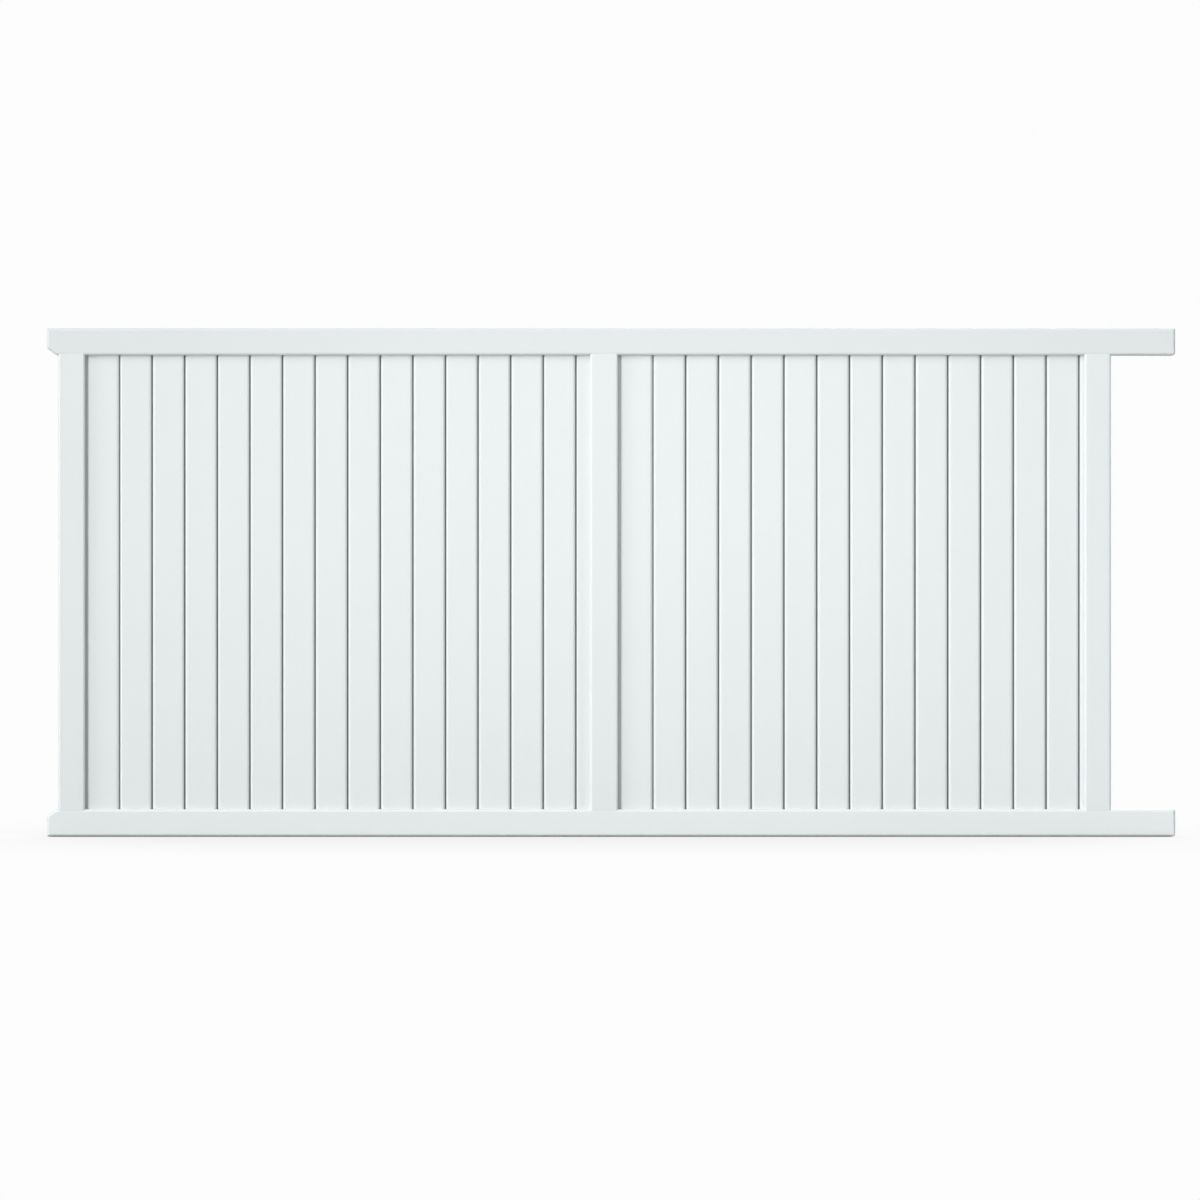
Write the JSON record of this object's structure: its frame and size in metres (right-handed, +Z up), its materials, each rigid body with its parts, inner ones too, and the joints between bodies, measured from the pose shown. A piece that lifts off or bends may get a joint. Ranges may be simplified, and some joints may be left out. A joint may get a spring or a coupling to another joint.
{
  "type": "sliding gate leaf",
  "caption": "White sliding gate leaf: a flush frame of slotted aluminium bars filled with upright V-jointed boards, rails running past the frame as a nose and a tail.",
  "frame": {"origin": "on the underside of the bottom rail, at mid-length and mid-depth of the leaf", "axes": "+X along the leaf from nose to tail, +Y from the front face to the back face, +Z up"},
  "size_m": [4, 0.06, 1.8],
  "materials": {
    "frame_coat": "white satin powder coat on extruded aluminium",
    "board_coat": "white satin powder coat on hollow extruded boards",
    "cap_polymer": "white satin moulded end cap"
  },
  "bodies": {
    "root": {"bottom_nose_cap": "cap_polymer", "bottom_rail": "frame_coat", "bottom_slot_cover": "frame_coat", "bottom_tail_cap": "cap_polymer", "leading_stile": "frame_coat", "left_bay_board_01": "board_coat", "left_bay_board_02": "board_coat", "left_bay_board_03": "board_coat", "left_bay_board_04": "board_coat", "left_bay_board_05": "board_coat", "left_bay_board_06": "board_coat", "left_bay_board_07": "board_coat", "left_bay_board_08": "board_coat", "left_bay_board_09": "board_coat", "left_bay_board_10": "board_coat", "left_bay_board_11": "board_coat", "left_bay_board_12": "board_coat", "left_bay_board_13": "board_coat", "left_bay_board_14": "board_coat", "left_bay_board_15": "board_coat", "left_bay_board_16": "board_coat", "middle_stile": "frame_coat", "rear_stile": "frame_coat", "right_bay_board_01": "board_coat", "right_bay_board_02": "board_coat", "right_bay_board_03": "board_coat", "right_bay_board_04": "board_coat", "right_bay_board_05": "board_coat", "right_bay_board_06": "board_coat", "right_bay_board_07": "board_coat", "right_bay_board_08": "board_coat", "right_bay_board_09": "board_coat", "right_bay_board_10": "board_coat", "right_bay_board_11": "board_coat", "right_bay_board_12": "board_coat", "right_bay_board_13": "board_coat", "right_bay_board_14": "board_coat", "right_bay_board_15": "board_coat", "top_nose_cap": "cap_polymer", "top_rail": "frame_coat", "top_slot_cover": "frame_coat", "top_tail_cap": "cap_polymer"}
  },
  "joints": []
}
